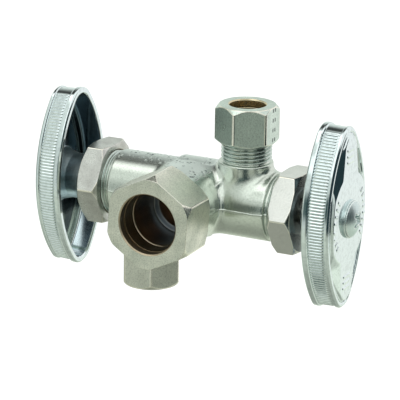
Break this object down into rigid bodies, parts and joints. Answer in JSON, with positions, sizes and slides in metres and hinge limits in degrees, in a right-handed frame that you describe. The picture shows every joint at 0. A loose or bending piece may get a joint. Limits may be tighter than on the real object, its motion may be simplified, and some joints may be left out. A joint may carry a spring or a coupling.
{
  "type": "dual outlet angle stop valve",
  "caption": "Nickel-plated dual-outlet angle stop: one large compression inlet, two small compression outlets, and an oval handwheel with its own shutoff for each outlet.",
  "frame": {"origin": "centre of the inlet compression nut's front face, where the supply pipe enters", "axes": "-Y out of the inlet toward the wall pipe, +X along the shared stem axis toward the handle on the upward outlet's side, +Z out of the upward outlet; the stem axis is at Y = 31.8 mm"},
  "size_m": [0.0976, 0.0459, 0.057],
  "materials": {
    "body_nickel": "cast brass, bright nickel plated over an as-cast, slightly pitted skin",
    "inlet_nut_nickel": "brass, satin rough-nickel plated, warm grey",
    "outlet_nut_nickel": "brass, satin nickel plated, cool grey, brighter chamfers",
    "packing_nut_nickel": "brass, satin nickel plated",
    "stem_nickel": "turned brass, nickel plated",
    "brass": "bare turned brass",
    "black_rubber": "matte moulded rubber",
    "graphite_packing": "pressed graphite packing, dull",
    "handle_chrome": "polished chrome over die-cast zinc, knurled rim",
    "screw_zinc": "bright zinc-plated steel"
  },
  "bodies": {
    "root": {"valve_body": "body_nickel", "right_packing_nut": "packing_nut_nickel", "right_packing_washer": "brass", "right_packing_ring": "graphite_packing", "left_packing_nut": "packing_nut_nickel", "left_packing_washer": "brass", "left_packing_ring": "graphite_packing"},
    "right_washer": {"right_seat_washer": "black_rubber", "right_seat_washer_screw": "brass"},
    "right_stem": {"right_stem": "stem_nickel", "right_handle": "handle_chrome", "right_handle_screw": "screw_zinc"},
    "left_washer": {"left_seat_washer": "black_rubber", "left_seat_washer_screw": "brass"},
    "left_stem": {"left_stem": "stem_nickel", "left_handle": "handle_chrome", "left_handle_screw": "screw_zinc"},
    "inlet_sleeve": {"inlet_sleeve": "brass"},
    "inlet_nut": {"inlet_nut": "inlet_nut_nickel"},
    "top_sleeve": {"top_outlet_sleeve": "brass"},
    "top_nut": {"top_outlet_nut": "outlet_nut_nickel"},
    "bottom_sleeve": {"bottom_outlet_sleeve": "brass"},
    "bottom_nut": {"bottom_outlet_nut": "outlet_nut_nickel"}
  },
  "joints": [
    {"name": "right_lift", "type": "slide", "parent": "root", "child": "right_washer", "axis": [1, 0, 0], "range_m": [0, 0.00413]},
    {"name": "right_turn", "type": "hinge", "parent": "right_washer", "child": "right_stem", "pos_m": [0.04, 0.0318, 0], "axis": [1, 0, 0], "range_deg": [0, 990]},
    {"name": "left_lift", "type": "slide", "parent": "root", "child": "left_washer", "axis": [-1, 0, 0], "range_m": [0, 0.00413]},
    {"name": "left_turn", "type": "hinge", "parent": "left_washer", "child": "left_stem", "pos_m": [-0.04, 0.0318, 0], "axis": [-1, 0, 0], "range_deg": [0, 990]},
    {"name": "inlet_back_off", "type": "slide", "parent": "root", "child": "inlet_sleeve", "axis": [0, -1, 0], "range_m": [0, 0.00282]},
    {"name": "inlet_nut_turn", "type": "hinge", "parent": "inlet_sleeve", "child": "inlet_nut", "pos_m": [0, 0, 0], "axis": [0, -1, 0], "range_deg": [0, 720]},
    {"name": "top_back_off", "type": "slide", "parent": "root", "child": "top_sleeve", "axis": [0, 0, 1], "range_m": [0, 0.00212]},
    {"name": "top_nut_turn", "type": "hinge", "parent": "top_sleeve", "child": "top_nut", "pos_m": [0.0147, 0.0318, 0.0285], "axis": [0, 0, 1], "range_deg": [0, 720]},
    {"name": "bottom_back_off", "type": "slide", "parent": "root", "child": "bottom_sleeve", "axis": [0, 0, -1], "range_m": [0, 0.00212]},
    {"name": "bottom_nut_turn", "type": "hinge", "parent": "bottom_sleeve", "child": "bottom_nut", "pos_m": [-0.0147, 0.0318, -0.0285], "axis": [0, 0, -1], "range_deg": [0, 720]}
  ],
  "couplings": [
    {"joint": "right_lift", "follows": "right_turn", "m_per_rad": 0.00023873},
    {"joint": "left_lift", "follows": "left_turn", "m_per_rad": 0.00023873},
    {"joint": "inlet_back_off", "follows": "inlet_nut_turn", "m_per_rad": 0.00022457},
    {"joint": "top_back_off", "follows": "top_nut_turn", "m_per_rad": 0.00016844},
    {"joint": "bottom_back_off", "follows": "bottom_nut_turn", "m_per_rad": 0.00016844}
  ]
}
